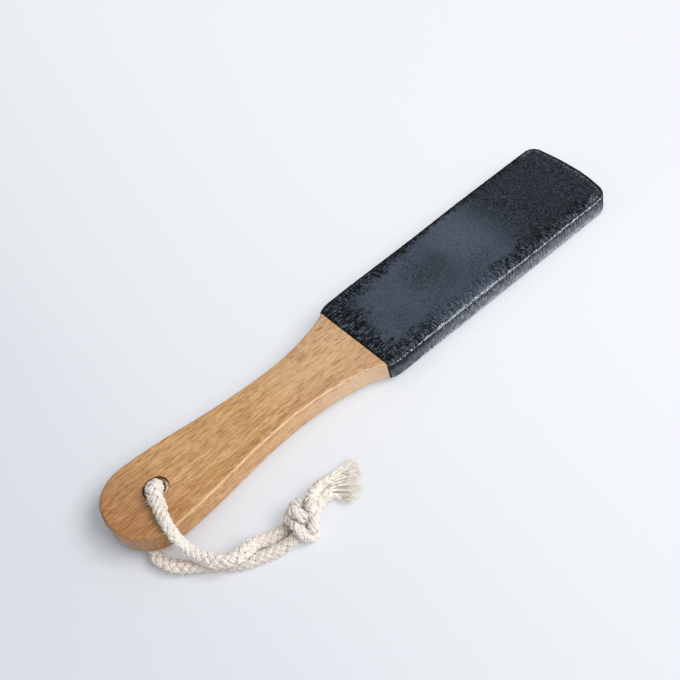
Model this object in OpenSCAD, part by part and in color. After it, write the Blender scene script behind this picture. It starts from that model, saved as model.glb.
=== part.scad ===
// Foot file: a beech paddle with an abrasive blade and a knotted cotton hanging cord.
// Board frame: x = 0 where the bare wood meets the abrasive, +X to the tip, z = 0 at mid-thickness.
// Part frame: the file rests on its tip and on the cord, origin under its middle, +Z up.

/* [Wooden handle] */
// Length of the bare handle, from the butt end to the abrasive
handle_length = 114; // [100:1:130]
// Greatest width of the rounded butt
butt_width = 36.6; // [32:0.2:40]
// Length of the butt's round end
butt_end_length = 17; // [14:0.5:20]
// Width at the narrowest place
waist_width = 25.7; // [22:0.1:28]
// Distance from the narrowest place to the abrasive
waist_to_blade = 38; // [32:1:44]
// Width at the neck, where the handle starts to flare
neck_width = 32.8; // [31:0.1:34]
// Distance from the neck to the abrasive
neck_to_blade = 8; // [7:0.5:10]
// Width of the wood where the abrasive starts
head_width = 40; // [38:0.5:41]
// Thickness of the wood
wood_thickness = 9.5; // [8:0.1:12]
// Radius of the wood's rounded edges
edge_radius = 1.6; // [1:0.1:2]

/* [Hanging hole] */
// Distance from the butt end to the hole's axis
hole_to_butt = 21.5; // [18:0.5:26]
// Diameter of the hole that the cord passes through
hole_diameter = 7; // [6.5:0.1:8]
// Diameter of the shallow recess round both mouths of the hole
recess_diameter = 10.2; // [9:0.1:12]
// Depth of each recess
recess_depth = 0.7; // [0.4:0.1:1.2]

/* [Abrasive blade] */
// Length of the blade over the abrasive
blade_length = 122; // [110:1:135]
// Width of the blade over the abrasive
blade_width = 45; // [43:0.5:48]
// Thickness of the abrasive layer
grit_thickness = 0.6; // [0.4:0.1:0.9]
// Corner radius at the blade's tip
corner_radius = 5.5; // [4:0.5:8]
// How far the middle of the tip stands out past its corners
tip_bow = 0.8; // [0.4:0.1:1.5]
// Length over which the flared head reaches the full blade width
shoulder_length = 6.5; // [5:0.5:9]
// Width of the rough border on each face
border_width = 3; // [2.5:0.1:4]

/* [Hanging cord] */
// Diameter of the braided cord
cord_diameter = 5; // [4.8:0.1:5.2]
// Diameter of a strand pulled tight in the knot
knot_strand_diameter = 4; // [3.8:0.1:4.2]
// Greatest width of each frayed end
tuft_width = 7.6; // [6:0.1:8]
// Thickness of each frayed end where it lies flat
tuft_thickness = 3.2; // [2.6:0.1:3.6]

/* [Hidden] */

// Slopes of the side outline, as width gained over length run
neck_slope_share = 0.27;
head_slope_share = 0.75;
// Steps along each stretch of the outline, and round each edge
end_steps = 8;
waist_steps = 8;
neck_steps = 6;
corner_steps = 4;
edge_steps = 3;
// Sides of the hole and its recess, and of the cord
hole_sides = 96;
cord_sides = 10;
// Steps round each turn of the knot
turn_steps = 18;
// Where the butt rests on the cord, past the hole, as a share of the butt's round end
cord_rest_share = 1 / 6;
// Clearance between strands in the knot
strand_gap = 0.1;
// Straight run where one stretch of cord takes over from the next
lead_in = 1.2;

grit_overlap = border_width - grit_thickness;
core_half = blade_width / 2 - grit_thickness;
core_end = blade_length - grit_thickness;
core_corner = corner_radius - grit_thickness;
hole_x = hole_to_butt - handle_length;

// The cord under the butt carries it, so the file leans by this angle
cord_rest_x = hole_x - cord_rest_share * butt_end_length;
lean = asin((cord_diameter - grit_thickness) / (blade_length - cord_rest_x));
grit_edge_radius = edge_radius + grit_thickness;
tip_centre_drop = (blade_length - grit_edge_radius) * sin(lean)
    + (wood_thickness / 2 - edge_radius) * cos(lean);
middle_x = (blade_length - handle_length) / 2 * cos(lean)
    + grit_thickness / 2 * sin(lean);

// Places a thing given in the board frame where the file rests
module on_board() {
    translate([-middle_x, 0, grit_edge_radius + tip_centre_drop])
        rotate([0, lean, 0]) children();
}

// Cubic curve between two places, each [x, y, slope]
function blend(a, b, t) =
    let (run = b[0] - a[0], s = t * t * (3 - 2 * t))
    [
        a[0] + run * t,
        a[1] * (1 - s) + b[1] * s
            + run * (a[2] * t * (1 - t) * (1 - t) - b[2] * t * t * (1 - t))
    ];

function stretch(a, b, steps) = [for (i = [1:steps]) blend(a, b, i / steps)];

// Places that the side outline passes through: [x, half width, slope]
butt_place = [butt_end_length - handle_length, butt_width / 2, 0];
waist_place = [-waist_to_blade, waist_width / 2, 0];
neck_place = [-neck_to_blade, neck_width / 2, neck_slope_share];
head_place = [0, head_width / 2, head_slope_share];
shoulder_place = [shoulder_length, core_half, 0];

butt_side = [
    for (i = [0:end_steps])
        let (a = 90 * i / end_steps)
        [-handle_length + butt_end_length * (1 - cos(a)), butt_width / 2 * sin(a)]
];
handle_side = concat(
    butt_side,
    stretch(butt_place, waist_place, waist_steps),
    stretch(waist_place, neck_place, neck_steps),
    stretch(neck_place, head_place, corner_steps)
);
corner_centre = [core_end - tip_bow - core_corner, core_half - core_corner];
blade_side = concat(
    stretch(head_place, shoulder_place, corner_steps),
    [
        for (i = [0:corner_steps])
            let (a = 90 - 90 * i / corner_steps)
            corner_centre + core_corner * [cos(a), sin(a)]
    ],
    [
        for (i = [1:corner_steps])
            let (t = 1 - i / corner_steps)
            [core_end - tip_bow * t * t, corner_centre[1] * t]
    ]
);
side = concat(handle_side, blade_side);
head_index = len(handle_side) - 1;
side_count = len(side);

// Outward offset at each point of the side: square to the outline, and along Y at the head,
// so that the abrasive starts on a straight line across the wood
function edge_normal(a, b) =
    let (d = b - a)
    [-d[1], d[0]] / norm(d);
function miter(i) =
    let (m = edge_normal(side[i - 1], side[i]), n = edge_normal(side[i], side[i + 1]))
    i == head_index ? [0, 1 / (m + n)[1] * norm(m + n)] : (m + n) / (1 + m * n);
offsets = [
    for (i = [0:side_count - 1])
        i == 0 ? [-1, 0] : i == side_count - 1 ? [1, 0] : miter(i)
];

function side_point(i, out) = side[i] + out * offsets[i];
function mirrored(p) = [p[0], -p[1]];

// Height and inset of each level of a rounded edge, from the bottom up
function edge_levels(half, radius) = concat(
    [for (k = [0:edge_steps]) let (a = 90 * k / edge_steps)
        [-half + radius * (1 - cos(a)), radius * (sin(a) - 1)]],
    [for (k = [edge_steps:-1:0]) let (a = 90 * k / edge_steps)
        [half - radius * (1 - cos(a)), radius * (sin(a) - 1)]]
);
wood_levels = edge_levels(wood_thickness / 2, edge_radius);
grit_levels = edge_levels(wood_thickness / 2 + grit_thickness, grit_edge_radius);

// Closed outline at one inset, counter-clockwise seen from above
function outline(out) = concat(
    [for (i = [0:side_count - 1]) mirrored(side_point(i, out))],
    [for (i = [side_count - 2:-1:1]) side_point(i, out)]
);

// Triangles between rows of points, where each row closes on itself
function row_triangles(rows, count) = [
    for (r = [0:rows - 2], i = [0:count - 1])
        let (a = r * count + i, b = r * count + (i + 1) % count)
        each [[a, b + count, b], [a, a + count, b + count]]
];

// Triangles that close a row of outline points, in strips across the board
function cap_triangles(first, upward) =
    let (count = 2 * side_count - 2)
    [
        for (i = [0:side_count - 2])
            let (a = i, b = i + 1, c = (count - b) % count, d = (count - a) % count)
            each [
                if (b != c) [first + a, first + (upward ? b : c), first + (upward ? c : b)],
                if (a != d) [first + a, first + (upward ? c : d), first + (upward ? d : c)]
            ]
    ];

module wood_blank() {
    count = 2 * side_count - 2;
    rows = len(wood_levels);
    points = [for (level = wood_levels, p = outline(level[1])) [p[0], p[1], level[0]]];
    polyhedron(points, concat(
        cap_triangles(0, true),
        row_triangles(rows, count),
        cap_triangles((rows - 1) * count, false)
    ));
}

// The hole with the recess round both mouths, run on past both faces
module hanging_hole() {
    cut_length = 2 * wood_thickness;
    floor_height = wood_thickness / 2 - recess_depth;
    translate([hole_x, 0, 0]) {
        cylinder(d = hole_diameter, h = cut_length, center = true, $fn = hole_sides);
        translate([0, 0, floor_height])
            cylinder(d = recess_diameter, h = wood_thickness, $fn = hole_sides);
        translate([0, 0, -floor_height - wood_thickness])
            cylinder(d = recess_diameter, h = wood_thickness, $fn = hole_sides);
    }
}

module beech_paddle() {
    color("burlywood") on_board() difference() {
        wood_blank();
        hanging_hole();
    }
}

// Flat middle of the abrasive on one face
module grit_sheet() {
    half = [for (i = [head_index:side_count - 1]) side_point(i, -grit_overlap)];
    linear_extrude(grit_thickness) polygon(concat(
        [for (i = [0:len(half) - 1]) mirrored(half[i])],
        [for (i = [len(half) - 2:-1:0]) half[i]]
    ));
}

module upper_grit_sheet() {
    color("slategray") on_board() translate([0, 0, wood_thickness / 2]) grit_sheet();
}

module lower_grit_sheet() {
    color("dimgray") on_board()
        translate([0, 0, -wood_thickness / 2 - grit_thickness]) grit_sheet();
}

// Rough abrasive that wraps the blade's sides and tip and laps onto both faces
module edge_grit_band() {
    section = concat(
        [[-wood_thickness / 2, -grit_overlap]],
        wood_levels,
        [[wood_thickness / 2, -grit_overlap]],
        [[wood_thickness / 2 + grit_thickness, -grit_overlap]],
        [
            for (k = [len(grit_levels) - 1:-1:0])
                [grit_levels[k][0], grit_levels[k][1] + grit_thickness]
        ],
        [[-wood_thickness / 2 - grit_thickness, -grit_overlap]]
    );
    count = len(section);
    // Its ends, in strips from the inner side of the section to the outer
    start_cap = [
        for (i = [0:count / 2 - 2])
            let (a = i, b = i + 1, c = count - 2 - i, d = count - 1 - i)
            each [[a, b, c], [a, c, d]]
    ];
    spine = concat(
        [for (i = [head_index:side_count - 1]) [i, -1]],
        [for (i = [side_count - 2:-1:head_index]) [i, 1]]
    );
    points = [
        for (s = spine, q = section)
            let (p = side_point(s[0], q[1]))
            [p[0], s[1] * p[1], q[0]]
    ];
    rows = len(spine);
    end_cap = [for (f = start_cap) [for (k = [2:-1:0]) (rows - 1) * count + f[k]]];
    color("darkslategray") on_board()
        polyhedron(points, concat(start_cap, row_triangles(rows, count), end_cap));
}

// Routes of the cord in the part frame, laid by eye as it lies on the surface.
// Both legs start at one place inside the hole and end where they enter the knot.
lower_route = [
    [-96.6, -0.1, 9.6], [-96.8, -0.3, 7.4], [-97.2, -0.7, 5.6], [-97.9, -1.4, 3.9],
    [-99.1, -2.6, 2.8], [-101.2, -4.7, 2.5], [-106.2, -9.6, 2.5], [-109.6, -13.6, 2.5],
    [-110.4, -17.4, 2.5], [-109.6, -21.2, 2.5], [-107.3, -25, 2.5], [-103.8, -28.4, 2.5],
    [-99.7, -31.8, 2.5], [-95.8, -35.4, 2.5], [-92, -39, 2.5], [-87.8, -41.8, 2.5],
    [-83.2, -43.8, 2.5], [-78.4, -45.6, 2.5], [-74.4, -46.6, 2.5]
];
upper_route = [
    [-96.6, -0.1, 9.6], [-96.4, 0.1, 11.8], [-96.3, 0.1, 14.8], [-96.9, -1, 17.4],
    [-97.9, -3.4, 18.8], [-98.9, -6, 18.2], [-99.8, -8.8, 17.1], [-100.8, -12.2, 17],
    [-101.6, -15.6, 17], [-102.2, -19.2, 16.7], [-102.4, -21.8, 15], [-102, -23.6, 11.6],
    [-101.3, -26, 8.9], [-100.2, -30, 7.6], [-98.2, -34.4, 7.6], [-95.2, -37.9, 7.6],
    [-91.4, -40.2, 7.6], [-87.2, -40.6, 7.3], [-82.6, -39.2, 5], [-77.8, -40.4, 2.8],
    [-73.6, -41.4, 2.6]
];
// Middle of the two strands where they run side by side through the knot
core_route = [[-65.4, -44.4, 6.2], [-61, -44.4, 6.4], [-57.8, -44.2, 7]];
core_entry = [[-71, -44.4, 3.8], [-69.4, -44.4, 5.6]];
wrap_place = [-63.6, -44.4, 6.4];
far_tuft_route = [[-54.4, -39.9, 6.7], [-48, -39.1, 4], [-42.6, -40.1, 2.6], [-37, -41, 1.7]];
near_tuft_route = [[-54.8, -43.8, 5.4], [-49.6, -44, 3.2], [-46, -46, 2.2], [-41.8, -48.8, 1.7]];

// Frames along a route: at each point a sideways and an upward direction, carried along
function unit(v) = v / norm(v);
function heading(route, i) =
    unit(route[min(i + 1, len(route) - 1)] - route[max(i - 1, 0)]);
function carried(route, i, sideways) =
    let (t = heading(route, i))
    unit(sideways - (sideways * t) * t);
function carry_on(route, i, sideways) =
    i == len(route) ? []
    : let (s = carried(route, i, sideways))
    concat([s], carry_on(route, i + 1, s));

// A solid swept along a route. The section at each point is an ellipse: widths run
// sideways and heights run across it.
module swept(route, widths, heights, first_sideways) {
    last = len(route) - 1;
    sideways = carry_on(route, 0, first_sideways);
    points = [
        for (i = [0:last], k = [0:cord_sides - 1])
            let (
                a = 360 * k / cord_sides,
                up = cross(heading(route, i), sideways[i])
            )
            route[i] + widths[i] / 2 * cos(a) * sideways[i] + heights[i] / 2 * sin(a) * up
    ];
    polyhedron(points, concat(
        [[for (k = [0:cord_sides - 1]) k]],
        row_triangles(last + 1, cord_sides),
        [[for (k = [cord_sides - 1:-1:0]) last * cord_sides + k]]
    ));
}

module cord_stretch(route, first_sideways) {
    widths = [for (p = route) cord_diameter];
    swept(route, widths, widths, first_sideways);
}

module cord_upper_leg() {
    color("linen") cord_stretch(upper_route, [1, 0, 0]);
}

module cord_lower_leg() {
    color("linen") cord_stretch(lower_route, [1, 0, 0]);
}

// One strand of the knot's core: it carries straight on from a leg, then runs beside the other
function core_strand(leg, side_sign) =
    let (
        last = len(leg) - 1,
        beside = [0, side_sign * (knot_strand_diameter / 2 + strand_gap), 0]
    )
    concat(
        [leg[last], leg[last] + lead_in * heading(leg, last)],
        [for (p = concat(core_entry, core_route)) p + beside]
    );
far_strand = core_strand(upper_route, 1);
near_strand = core_strand(lower_route, -1);

module core_solid(route) {
    widths = [for (i = [0:len(route) - 1]) i == 0 ? cord_diameter : knot_strand_diameter];
    swept(route, widths, widths, [0, 1, 0]);
}

// A turn of the knot round both strands of its core, closed on itself
module wrap(centre) {
    across = 3 * (knot_strand_diameter / 2 + strand_gap);
    above = knot_strand_diameter + 2 * strand_gap;
    points = [
        for (i = [0:turn_steps - 1], k = [0:cord_sides - 1])
            let (
                a = 360 * i / turn_steps,
                out = unit([0, cos(a) / across, sin(a) / above]),
                b = 360 * k / cord_sides
            )
            centre + [0, across * cos(a), above * sin(a)]
                + knot_strand_diameter / 2 * (cos(b) * out - [sin(b), 0, 0])
    ];
    count = turn_steps * cord_sides;
    polyhedron(points, [
        for (f = row_triangles(turn_steps + 1, cord_sides)) [for (v = f) v % count]
    ]);
}

module cord_knot() {
    pitch = knot_strand_diameter / 2 + strand_gap;
    color("linen") {
        core_solid(far_strand);
        core_solid(near_strand);
        for (s = [-1, 1]) wrap(wrap_place + [s * pitch, 0, 0]);
    }
}

// A loosened end: the strand's own section at the knot, flared and flattened at its tip
module tuft(strand, route) {
    end = strand[len(strand) - 1];
    full = concat([end, end + lead_in * heading(strand, len(strand) - 1)], route);
    last = len(full) - 1;
    grow = tuft_width - knot_strand_diameter;
    flatten = knot_strand_diameter - tuft_thickness;
    swept(
        full,
        [for (i = [0:last]) knot_strand_diameter + grow * i / last],
        [for (i = [0:last]) knot_strand_diameter - flatten * i / last],
        [0, 1, 0]
    );
}

module frayed_end_far() {
    color("antiquewhite") tuft(far_strand, far_tuft_route);
}

module frayed_end_near() {
    color("antiquewhite") tuft(near_strand, near_tuft_route);
}

beech_paddle();
upper_grit_sheet();
lower_grit_sheet();
edge_grit_band();
cord_upper_leg();
cord_lower_leg();
cord_knot();
frayed_end_far();
frayed_end_near();
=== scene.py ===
# Foot file: a beech paddle, its abrasive blade and a knotted cotton cord, on a pale table.
# In metres and in the part's own frame: the butt is at -X, the tip at +X, the table at z = 0.
import math

import bmesh
import bpy
import numpy as np
from mathutils import Matrix, Vector, noise


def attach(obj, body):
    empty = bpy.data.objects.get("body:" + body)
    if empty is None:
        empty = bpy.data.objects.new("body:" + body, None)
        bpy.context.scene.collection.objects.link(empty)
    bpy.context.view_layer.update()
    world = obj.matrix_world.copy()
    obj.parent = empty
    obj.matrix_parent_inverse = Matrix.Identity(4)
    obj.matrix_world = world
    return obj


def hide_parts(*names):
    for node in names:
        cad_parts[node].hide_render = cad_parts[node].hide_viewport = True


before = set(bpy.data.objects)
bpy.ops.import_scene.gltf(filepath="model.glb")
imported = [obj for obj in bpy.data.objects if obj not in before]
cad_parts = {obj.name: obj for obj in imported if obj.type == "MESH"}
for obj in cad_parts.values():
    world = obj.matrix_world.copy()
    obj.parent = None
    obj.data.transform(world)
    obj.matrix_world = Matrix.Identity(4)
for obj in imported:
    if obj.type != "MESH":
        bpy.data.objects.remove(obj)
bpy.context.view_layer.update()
scene = bpy.context.scene
print("frame loaded:", sorted(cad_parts))


class Flow:
    # One output of a node, so that sums of sockets read as plain maths
    def __init__(self, recipe, node, output=0):
        self.recipe, self.node, self.socket = recipe, node, node.outputs[output]

    def pick(self, output):
        return Flow(self.recipe, self.node, output)

    def calc(self, operation, *others):
        sockets = dict(enumerate([self, *others]))
        return self.recipe.node("Math", {"operation": operation}, sockets)

    def __add__(self, other):
        return self.calc("ADD", other)

    __radd__ = __add__

    def __mul__(self, other):
        return self.calc("MULTIPLY", other)

    __rmul__ = __mul__

    def __sub__(self, other):
        return self.calc("SUBTRACT", other)

    def __rsub__(self, other):
        return self.recipe.node("Math", {"operation": "SUBTRACT"}, {0: other, 1: self})

    def __truediv__(self, other):
        return self.calc("DIVIDE", other)

    def __pow__(self, other):
        return self.calc("POWER", other)

    def clip(self):
        return self.recipe.node("Clamp", {}, {"Value": self})

    def ramp(self, low, high):
        # 0 below low, 1 above high, smooth between
        sockets = {"Value": self, "From Min": low, "From Max": high}
        return self.recipe.node("MapRange", {"interpolation_type": "SMOOTHSTEP"}, sockets)

    def fall(self, low, high):
        return 1 - self.ramp(low, high)


class Recipe:
    # A material under construction, and the colours that it can name
    def __init__(self, name, palette=None):
        self.palette = palette or {}
        self.material = bpy.data.materials.new(name)
        self.material.use_nodes = True
        self.tree = self.material.node_tree
        self.tree.nodes.clear()
        self.output = self.tree.nodes.new("ShaderNodeOutputMaterial")

    def node(self, kind, settings, sockets, output=0):
        # Settings first, because they can change which sockets it has
        made = self.tree.nodes.new("ShaderNode" + kind)
        for key, value in settings.items():
            setattr(made, key, value)
        for key, value in sockets.items():
            if isinstance(value, Flow):
                self.tree.links.new(value.socket, made.inputs[key])
            elif made.inputs[key].type == "RGBA":
                made.inputs[key].default_value = (*value, 1)
            else:
                made.inputs[key].default_value = value
        return Flow(self, made, output)

    def place(self, size=(1, 1, 1), turn=(0, 0, 0), start=(0, 0, 0)):
        # Object coordinates in millimetres, scaled for a pattern
        scale = tuple(1000 * s for s in size)
        sockets = {"Vector": self.node("TexCoord", {}, {}, "Object"), "Location": start}
        return self.node("Mapping", {}, {**sockets, "Rotation": turn, "Scale": scale})

    def cloud(self, place, scale, detail=2.0, roughness=0.5, distortion=0.0):
        sockets = {"Vector": place, "Scale": scale, "Detail": detail, "Roughness": roughness}
        return self.node("TexNoise", {}, {**sockets, "Distortion": distortion})

    def axes(self, vector):
        return self.node("SeparateXYZ", {}, {"Vector": vector})

    def blend(self, factor, first, second):
        # From the first colour to the second as the factor goes from 0 to 1
        first, second = (self.palette.get(c, c) for c in (first, second))
        sockets = {0: factor, 6: first, 7: second}
        return self.node("Mix", {"data_type": "RGBA"}, sockets, 2)

    def lay(self, factor, colour):
        # One more colour over those that the material has
        self.tone = self.blend(factor, self.tone, colour)

    def bump(self, height, strength, distance):
        sockets = {"Height": height, "Strength": strength, "Distance": distance}
        return self.node("Bump", {}, sockets)

    def finish(self, **sockets):
        named = {key.replace("_", " "): value for key, value in sockets.items()}
        shader = self.node("BsdfPrincipled", {}, named)
        self.tree.links.new(shader.socket, self.output.inputs["Surface"])
        return self.material


def srgb(red, green, blue):
    # From 0 to 255 as on a screen to the linear values that a shader takes
    return tuple(
        v / 12.92 if v <= 0.04045 else ((v + 0.055) / 1.055) ** 2.4
        for v in (red / 255, green / 255, blue / 255)
    )


def dress(piece, material):
    piece.data.materials.clear()
    piece.data.materials.append(material)
    piece.data.shade_smooth()
    return piece


def addObject(name, data):
    made = bpy.data.objects.new(name, data)
    scene.collection.objects.link(made)
    return made


def addMesh(name, bm):
    mesh = bpy.data.meshes.new(name)
    bm.to_mesh(mesh)
    bm.free()
    return addObject(name, mesh)


# Set to the photograph's own angle and framing
camera = {
    "lens": 59.28,
    "sensor": 36,
    "place": (-0.12224, -0.25364, 0.33861),
    "turn": (38.996, 12.686, -39.397),
}

eye = addObject("camera", bpy.data.cameras.new("camera"))
eye.data.lens, eye.data.sensor_width = camera["lens"], camera["sensor"]
eye.location = camera["place"]
eye.rotation_euler = [math.radians(a) for a in camera["turn"]]
eye.data.clip_start, eye.data.clip_end = 0.01, 20
scene.camera = eye
print("camera placed")

# The braid has four strands each way round, of two yarns side by side
braid = {
    "strandsEachWay": 4,
    "yarnsInStrand": 2,
    "yarnRadius": 0.00056,
    "yarnSpacing": 0.00076,
    "crossingHeight": 0.00044,
    "turnLength": 0.0118,
    "step": 0.00042,
    "unevenness": 0.00015,
    "wander": 0.07,
    "coreInset": 0.001,
    "tailLength": 0.0105,
    "hairsOnLeg": 170,
    "hairsOnKnot": 60,
    "hairsOnTail": 40,
    "hairStart": 0.0022,
    "hairReach": 0.0013,
    "hairRadius": 0.00005,
    "hairTop": 0.0215,
}

# Routes in millimetres, as in the part's source. Both legs start inside the hole.
lowerRoute = [
    (-96.6, -0.1, 9.6), (-96.8, -0.3, 7.4), (-97.2, -0.7, 5.6), (-97.9, -1.4, 3.9),
    (-99.1, -2.6, 2.8), (-101.2, -4.7, 2.5), (-106.2, -9.6, 2.5), (-109.6, -13.6, 2.5),
    (-110.4, -17.4, 2.5), (-109.6, -21.2, 2.5), (-107.3, -25, 2.5), (-103.8, -28.4, 2.5),
    (-99.7, -31.8, 2.5), (-95.8, -35.4, 2.5), (-92, -39, 2.5), (-87.8, -41.8, 2.5),
    (-83.2, -43.8, 2.5), (-78.4, -45.6, 2.5), (-74.4, -46.6, 2.5),
]
upperRoute = [
    (-96.6, -0.1, 9.6), (-96.4, 0.1, 11.8), (-96.3, 0.1, 14.8), (-96.9, -1, 17.4),
    (-97.9, -3.4, 18.8), (-98.9, -6, 18.2), (-99.8, -8.8, 17.1), (-100.8, -12.2, 17),
    (-101.6, -15.6, 17), (-102.2, -19.2, 16.7), (-102.4, -21.8, 15), (-102, -23.6, 11.6),
    (-101.3, -26, 8.9), (-100.2, -30, 7.6), (-98.2, -34.4, 7.6), (-95.2, -37.9, 7.6),
    (-91.4, -40.2, 7.6), (-87.2, -40.6, 7.3), (-82.6, -39.2, 5), (-77.8, -40.4, 2.8),
    (-73.6, -41.4, 2.6),
]

# The two strands on through the knot, as far as they stay braided
farKnot = [
    (-72, -41.5, 2.6), (-68, -41.7, 3.2), (-64.1, -41.9, 4.4), (-61.4, -41.8, 5.6),
    (-61.5, -41.1, 7), (-62.4, -39.6, 7.3), (-63.6, -38.3, 5.8), (-65, -38.3, 3),
    (-65.8, -42.1, 2.2), (-66.2, -46.6, 2.2), (-65.9, -49.2, 3), (-64.5, -49.7, 5.4),
    (-63.1, -48.7, 8.2), (-61.5, -46.3, 9.4), (-59.1, -42.8, 8.6), (-55.2, -39.4, 6.4),
    (-50.5, -37.9, 4.4), (-46, -38.3, 3.4),
]
nearKnot = [
    (-71.8, -46.8, 2.8), (-68.8, -47.4, 4.2), (-65.6, -47.1, 5.2), (-62.9, -46.6, 6),
    (-62.9, -47, 7.8), (-64.1, -47.5, 9.2), (-65.1, -46.2, 10.2), (-65.7, -43.3, 9.8),
    (-66.5, -41, 8.6), (-67.3, -40.6, 7), (-67.8, -42.6, 6), (-68.1, -45.8, 6.8),
    (-68.6, -48.4, 7.2), (-68.7, -49.8, 6.6), (-67.6, -49.9, 4.6), (-65.8, -48.9, 2.8),
    (-63.2, -46.9, 2.4), (-60.8, -45, 3.4), (-58, -43.3, 4.2), (-54.2, -42.1, 3.6),
    (-50, -42, 3),
]

# Width and height of each strand in millimetres, by the distance from its start
upperSizes = [
    (0, 5, 4.8), (7, 5.9, 4.6), (12, 5.9, 4.4), (18, 4.9, 4.2), (24, 4.2, 4), (30, 3.7, 3.9),
    (38, 3.7, 3.9), (46, 4.9, 4), (62, 5, 4.1), (78, 4.5, 4), (90, 4.1, 3.9), (150, 4.1, 3.7),
]
lowerSizes = [
    (0, 4.9, 4.6), (10, 5, 4.3), (19, 5.8, 4.2), (25, 6.8, 4.1), (33, 6.6, 4.1), (42, 5.6, 4.2),
    (52, 5.1, 4.3), (70, 4.9, 4.2), (80, 4.3, 4), (150, 4.1, 3.7),
]


def norms(rows):
    return np.linalg.norm(rows, axis=-1)


def unit(rows):
    return rows / norms(rows)[:, None]


def smoothLine(points, step):
    # A smooth curve through the points, resampled at even steps
    points = np.array(points, float)
    ends = np.vstack([2 * points[0] - points[1], points, 2 * points[-1] - points[-2]])
    gaps = norms(np.diff(ends, axis=0))
    slopes = np.diff(ends, axis=0) / gaps[:, None]
    share = (gaps[:-1] / (gaps[:-1] + gaps[1:]))[:, None]
    tangents = slopes[1:] * share + slopes[:-1] * (1 - share)
    fine = []
    for i in range(len(points) - 1):
        t = np.linspace(0, 1, 24, endpoint=False)[:, None]
        run = gaps[i + 1]
        fine.append(
            (2 * t**3 - 3 * t**2 + 1) * points[i]
            + (t**3 - 2 * t**2 + t) * run * tangents[i]
            + (3 * t**2 - 2 * t**3) * points[i + 1]
            + (t**3 - t**2) * run * tangents[i + 1]
        )
    return evenLine(np.vstack([*fine, points[-1:]]), step)


def lengthsAlong(line):
    return np.r_[0, np.cumsum(norms(np.diff(line, axis=0)))]


def pointsAt(places, along, line):
    return np.stack([np.interp(places, along, column) for column in line.T], -1)


def evenLine(line, step):
    along = lengthsAlong(line)
    places = np.linspace(0, along[-1], max(2, round(along[-1] / step) + 1))
    return pointsAt(places, along, line)


# How the knot's strands are pushed apart. The gap is between middles, and a strand isn't
# pushed by its own points nearer along it than ownReach gaps.
knotting = {
    "pointStep": 0.0008,
    "gap": 0.0032,
    "rounds": 60,
    "pushesInRound": 3,
    "push": 0.15,
    "smoothing": 0.12,
    "drawnBack": 0.04,
    "ownReach": 1.7,
    "heldAtStart": 5,
    "heldAtEnd": 7,
    "lowest": 0.0021,
}


def settleKnot(lines):
    # Pushes the two strands apart where they run through each other, and smooths them. The
    # ends stay, and the rest is drawn back towards its place.
    gap = knotting["gap"]
    step = np.linalg.norm(lines[0][1] - lines[0][0])
    points = np.vstack(lines)
    placed = points.copy()
    strand = np.repeat([0, 1], [len(x) for x in lines])
    index = np.concatenate([np.arange(len(x)) for x in lines])
    last = np.array([len(x) - 1 for x in lines])[strand]
    free = (index > knotting["heldAtStart"]) & (index < last - knotting["heldAtEnd"])
    free = free.astype(float)[:, None]
    first, second = np.triu_indices(len(points), 1)
    between = abs(index[first] - index[second]) * step
    apart = (strand[first] != strand[second]) | (between > knotting["ownReach"] * gap)
    first, second = first[apart], second[apart]
    for _ in range(knotting["rounds"]):
        bend = np.zeros_like(points)
        bend[1:-1] = (points[:-2] + points[2:]) / 2 - points[1:-1]
        points = points + knotting["smoothing"] * bend * free
        for _ in range(knotting["pushesInRound"]):
            run = points[second] - points[first]
            far = norms(run)
            near = far < gap
            push = (gap / np.maximum(far[near], gap / 16) - 1) * knotting["push"]
            push = push[:, None] * run[near]
            move = np.zeros_like(points)
            np.add.at(move, first[near], -push)
            np.add.at(move, second[near], push)
            points = points + move * free
        points = points + knotting["drawnBack"] * (placed - points) * free
        points[:, 2] = np.maximum(points[:, 2], knotting["lowest"])
    return points[strand == 0], points[strand == 1]


def carriedFrames(line):
    # At each point: the heading, a sideways direction carried along, and the one across
    heading = unit(np.gradient(line, axis=0))
    side = np.zeros_like(line)
    current = np.array((1.0, 0.0, 0.0))
    for i, t in enumerate(heading):
        current = current - current.dot(t) * t
        current /= np.linalg.norm(current)
        side[i] = current
    return heading, side, np.cross(heading, side)


def slowNoise(dice, along, spread, every=0.003):
    # A value that drifts along a line
    count = max(3, int(along[-1] / every))
    return np.interp(along, np.linspace(0, along[-1], count), dice.normal(0, spread, count))


def braidYarns(line, widths, heights, seed):
    # Middle lines of the yarns of a flat braid. Those that run one way round pass over and
    # under those that run the other way.
    dice = np.random.default_rng(seed)
    _, side, up = carriedFrames(line)
    along = lengthsAlong(line)
    spin = 2 * np.pi * along / braid["turnLength"]
    count, inStrand = braid["strandsEachWay"], braid["yarnsInStrand"]
    radius = braid["yarnRadius"]
    middle = (np.mean(widths) + np.mean(heights)) / 4
    lean = math.atan(2 * math.pi * middle / braid["turnLength"])
    yarns = []
    for way in (1, -1):
        for k in range(count):
            wander = slowNoise(dice, along, braid["wander"])
            for q in range(inStrand):
                beside = (q - (inStrand - 1) / 2) * braid["yarnSpacing"]
                beside /= middle * math.cos(lean)
                angle = way * spin + 2 * np.pi * k / count + beside + wander
                over = way * np.cos(count * (spin + way * (beside + wander) / 2))
                sway = slowNoise(dice, along, braid["unevenness"])
                lift = braid["crossingHeight"] * over - radius + sway
                a = (widths / 2 + lift)[:, None]
                b = (heights / 2 + lift)[:, None]
                across, above = np.cos(angle)[:, None], np.sin(angle)[:, None]
                yarn = line + a * across * side + b * above * up
                yarn[:, 2] = np.maximum(yarn[:, 2], radius)
                yarns.append(yarn)
    return yarns


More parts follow.
